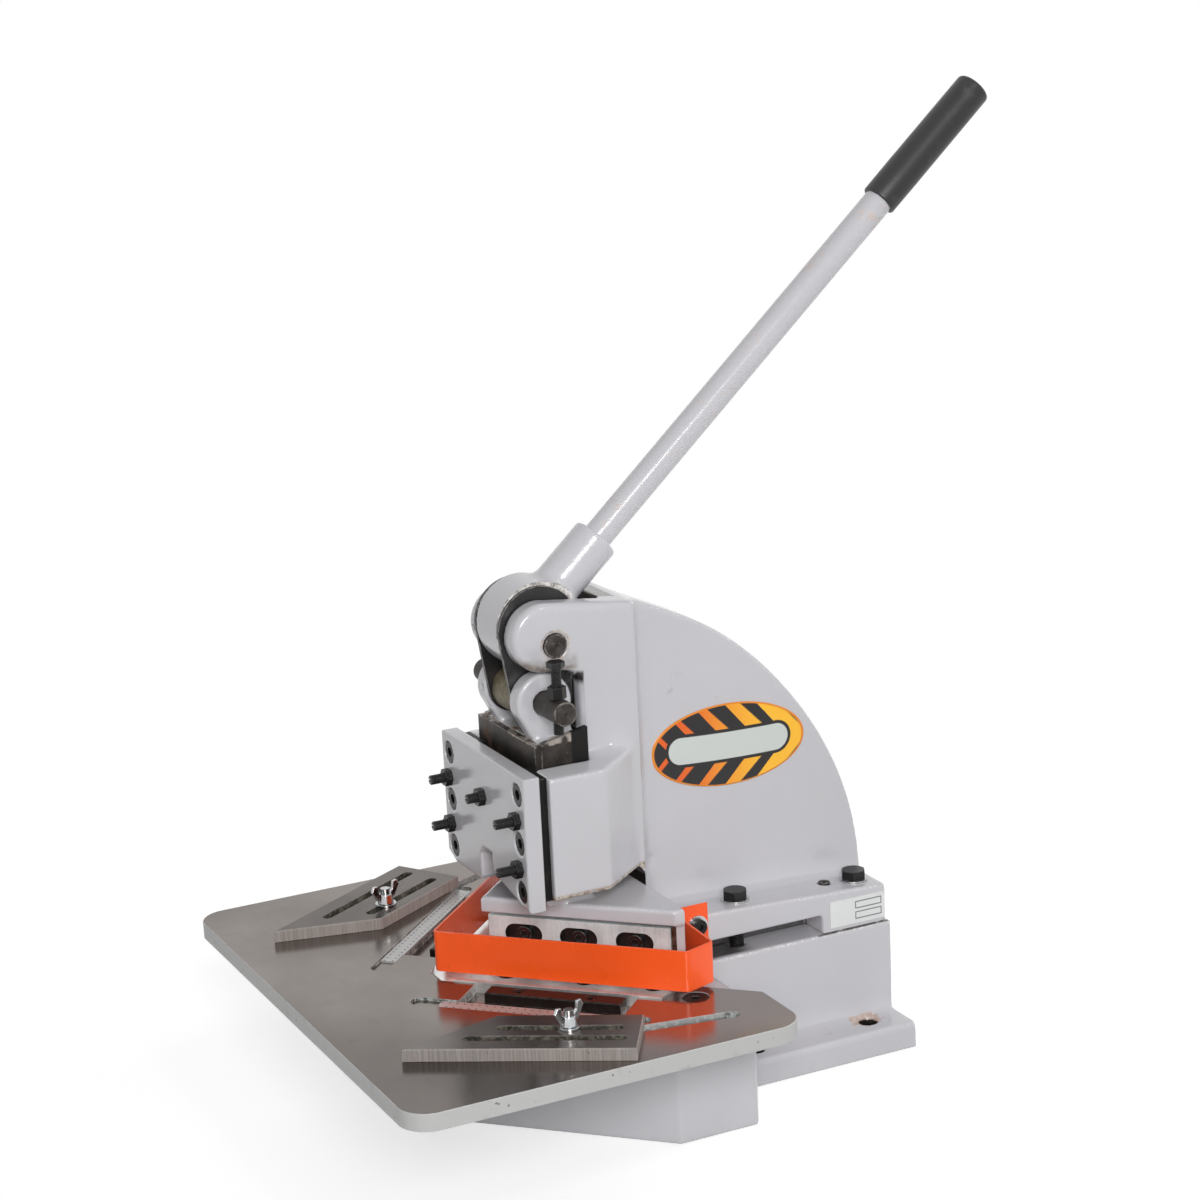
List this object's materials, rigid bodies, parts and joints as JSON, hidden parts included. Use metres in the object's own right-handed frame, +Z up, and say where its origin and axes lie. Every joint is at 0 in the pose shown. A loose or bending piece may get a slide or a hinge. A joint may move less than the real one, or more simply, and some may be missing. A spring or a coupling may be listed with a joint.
{
  "type": "corner notcher",
  "caption": "Bench sheet-metal corner notcher: a lever-worked ram with angled blades cuts square notches over a flat table with sliding gauges.",
  "frame": {"origin": "middle of the bench bolt pattern, on the underside of the feet", "axes": "+X to the operator's right, +Y from the operator to the back, +Z up"},
  "size_m": [0.486, 0.6619, 0.7975],
  "materials": {
    "grey_castings": "light grey gloss enamel on grey iron",
    "grey_rod": "light grey gloss enamel",
    "ground_table": "surface ground, painted edges",
    "orange_guard": "satin powder coat",
    "black_grip": "satin",
    "tool_steel": "ground",
    "black_steel": "black oxide",
    "plain_plate": "satin, blank",
    "domed_badge": "gloss, plain bands of colour",
    "black_oxide": "black oxide",
    "zinc_plate": "bright zinc plate",
    "ground_gauges": "surface ground, dark",
    "rusted_steel": "brown, lightly rusted",
    "dark_pins": "oiled brown",
    "bronze_roller": "dull bronze"
  },
  "bodies": {
    "stand": {"base": "grey_castings", "table": "ground_table", "table_screws": "black_oxide", "lower_blade_right": "tool_steel", "lower_blade_left": "tool_steel", "lower_blade_screws": "black_oxide", "clamp_bar_right": "black_steel", "clamp_bar_left": "black_steel", "clamp_bar_screws": "black_oxide", "ruler_right": "plain_plate", "ruler_left": "plain_plate", "frame": "grey_castings", "frame_bolts": "black_oxide", "frame_washers": "zinc_plate", "frame_dowels": "black_oxide", "front_plate": "grey_castings", "plate_screws": "black_oxide", "adjusting_screws": "black_oxide", "lock_nuts": "black_oxide", "gib_right": "rusted_steel", "gib_left": "rusted_steel", "upper_pin": "dark_pins", "finger_guard": "orange_guard", "guard_screws": "black_oxide", "guard_washers": "zinc_plate", "badge": "domed_badge", "data_plate": "plain_plate"},
    "ram": {"ram": "grey_castings", "ram_wear_plate": "rusted_steel", "ram_side_plate_right": "rusted_steel", "ram_side_plate_left": "rusted_steel", "lower_pin": "dark_pins", "strap_right": "black_steel", "strap_left": "black_steel", "stop_bolt": "black_oxide", "stop_nut": "black_oxide", "upper_blade_right": "tool_steel", "upper_blade_left": "tool_steel", "upper_blade_screws": "black_oxide"},
    "roller": {"roller": "bronze_roller"},
    "lever": {"lever_hub": "grey_castings", "handle_rod": "grey_rod", "grip": "black_grip", "handle_set_screw": "black_oxide"},
    "gauge_bolt_right": {"gauge_bolt_right": "zinc_plate", "gauge_washer_right": "zinc_plate"},
    "gauge_right": {"gauge_right": "ground_gauges"},
    "wing_nut_right": {"wing_nut_right": "zinc_plate"},
    "gauge_bolt_left": {"gauge_bolt_left": "zinc_plate", "gauge_washer_left": "zinc_plate"},
    "gauge_left": {"gauge_left": "ground_gauges"},
    "wing_nut_left": {"wing_nut_left": "zinc_plate"}
  },
  "joints": [
    {"name": "lever_swing", "type": "hinge", "parent": "stand", "child": "lever", "pos_m": [0, -0.2013, 0.3867], "axis": [1, 0, 0], "range_deg": [0, 95]},
    {"name": "ram_slide", "type": "slide", "parent": "stand", "child": "ram", "axis": [0, 0, -1], "range_m": [0, 0.014]},
    {"name": "roller_spin", "type": "hinge", "parent": "ram", "child": "roller", "pos_m": [0, -0.2113, 0.3404], "axis": [1, 0, 0], "continuous": true},
    {"name": "gauge_slide_right", "type": "slide", "parent": "stand", "child": "gauge_bolt_right", "axis": [0.1764, 0.9843, 0], "range_m": [-0.02, 0.06]},
    {"name": "gauge_turn_right", "type": "hinge", "parent": "gauge_bolt_right", "child": "gauge_right", "pos_m": [0.17615, -0.267, 0.121], "axis": [0, 0, 1], "range_deg": [-20, 20]},
    {"name": "wing_nut_spin_right", "type": "hinge", "parent": "gauge_bolt_right", "child": "wing_nut_right", "pos_m": [0.17615, -0.267, 0.132], "axis": [0, 0, 1], "continuous": true},
    {"name": "gauge_slide_left", "type": "slide", "parent": "stand", "child": "gauge_bolt_left", "axis": [-0.4016, 0.9158, 0], "range_m": [-0.02, 0.06]},
    {"name": "gauge_turn_left", "type": "hinge", "parent": "gauge_bolt_left", "child": "gauge_left", "pos_m": [-0.14995, -0.28535, 0.121], "axis": [0, 0, 1], "range_deg": [-20, 20]},
    {"name": "wing_nut_spin_left", "type": "hinge", "parent": "gauge_bolt_left", "child": "wing_nut_left", "pos_m": [-0.14995, -0.28535, 0.132], "axis": [0, 0, 1], "continuous": true}
  ],
  "couplings": [
    {"joint": "ram_slide", "follows": "lever_swing", "m_per_rad": 0.00844}
  ]
}
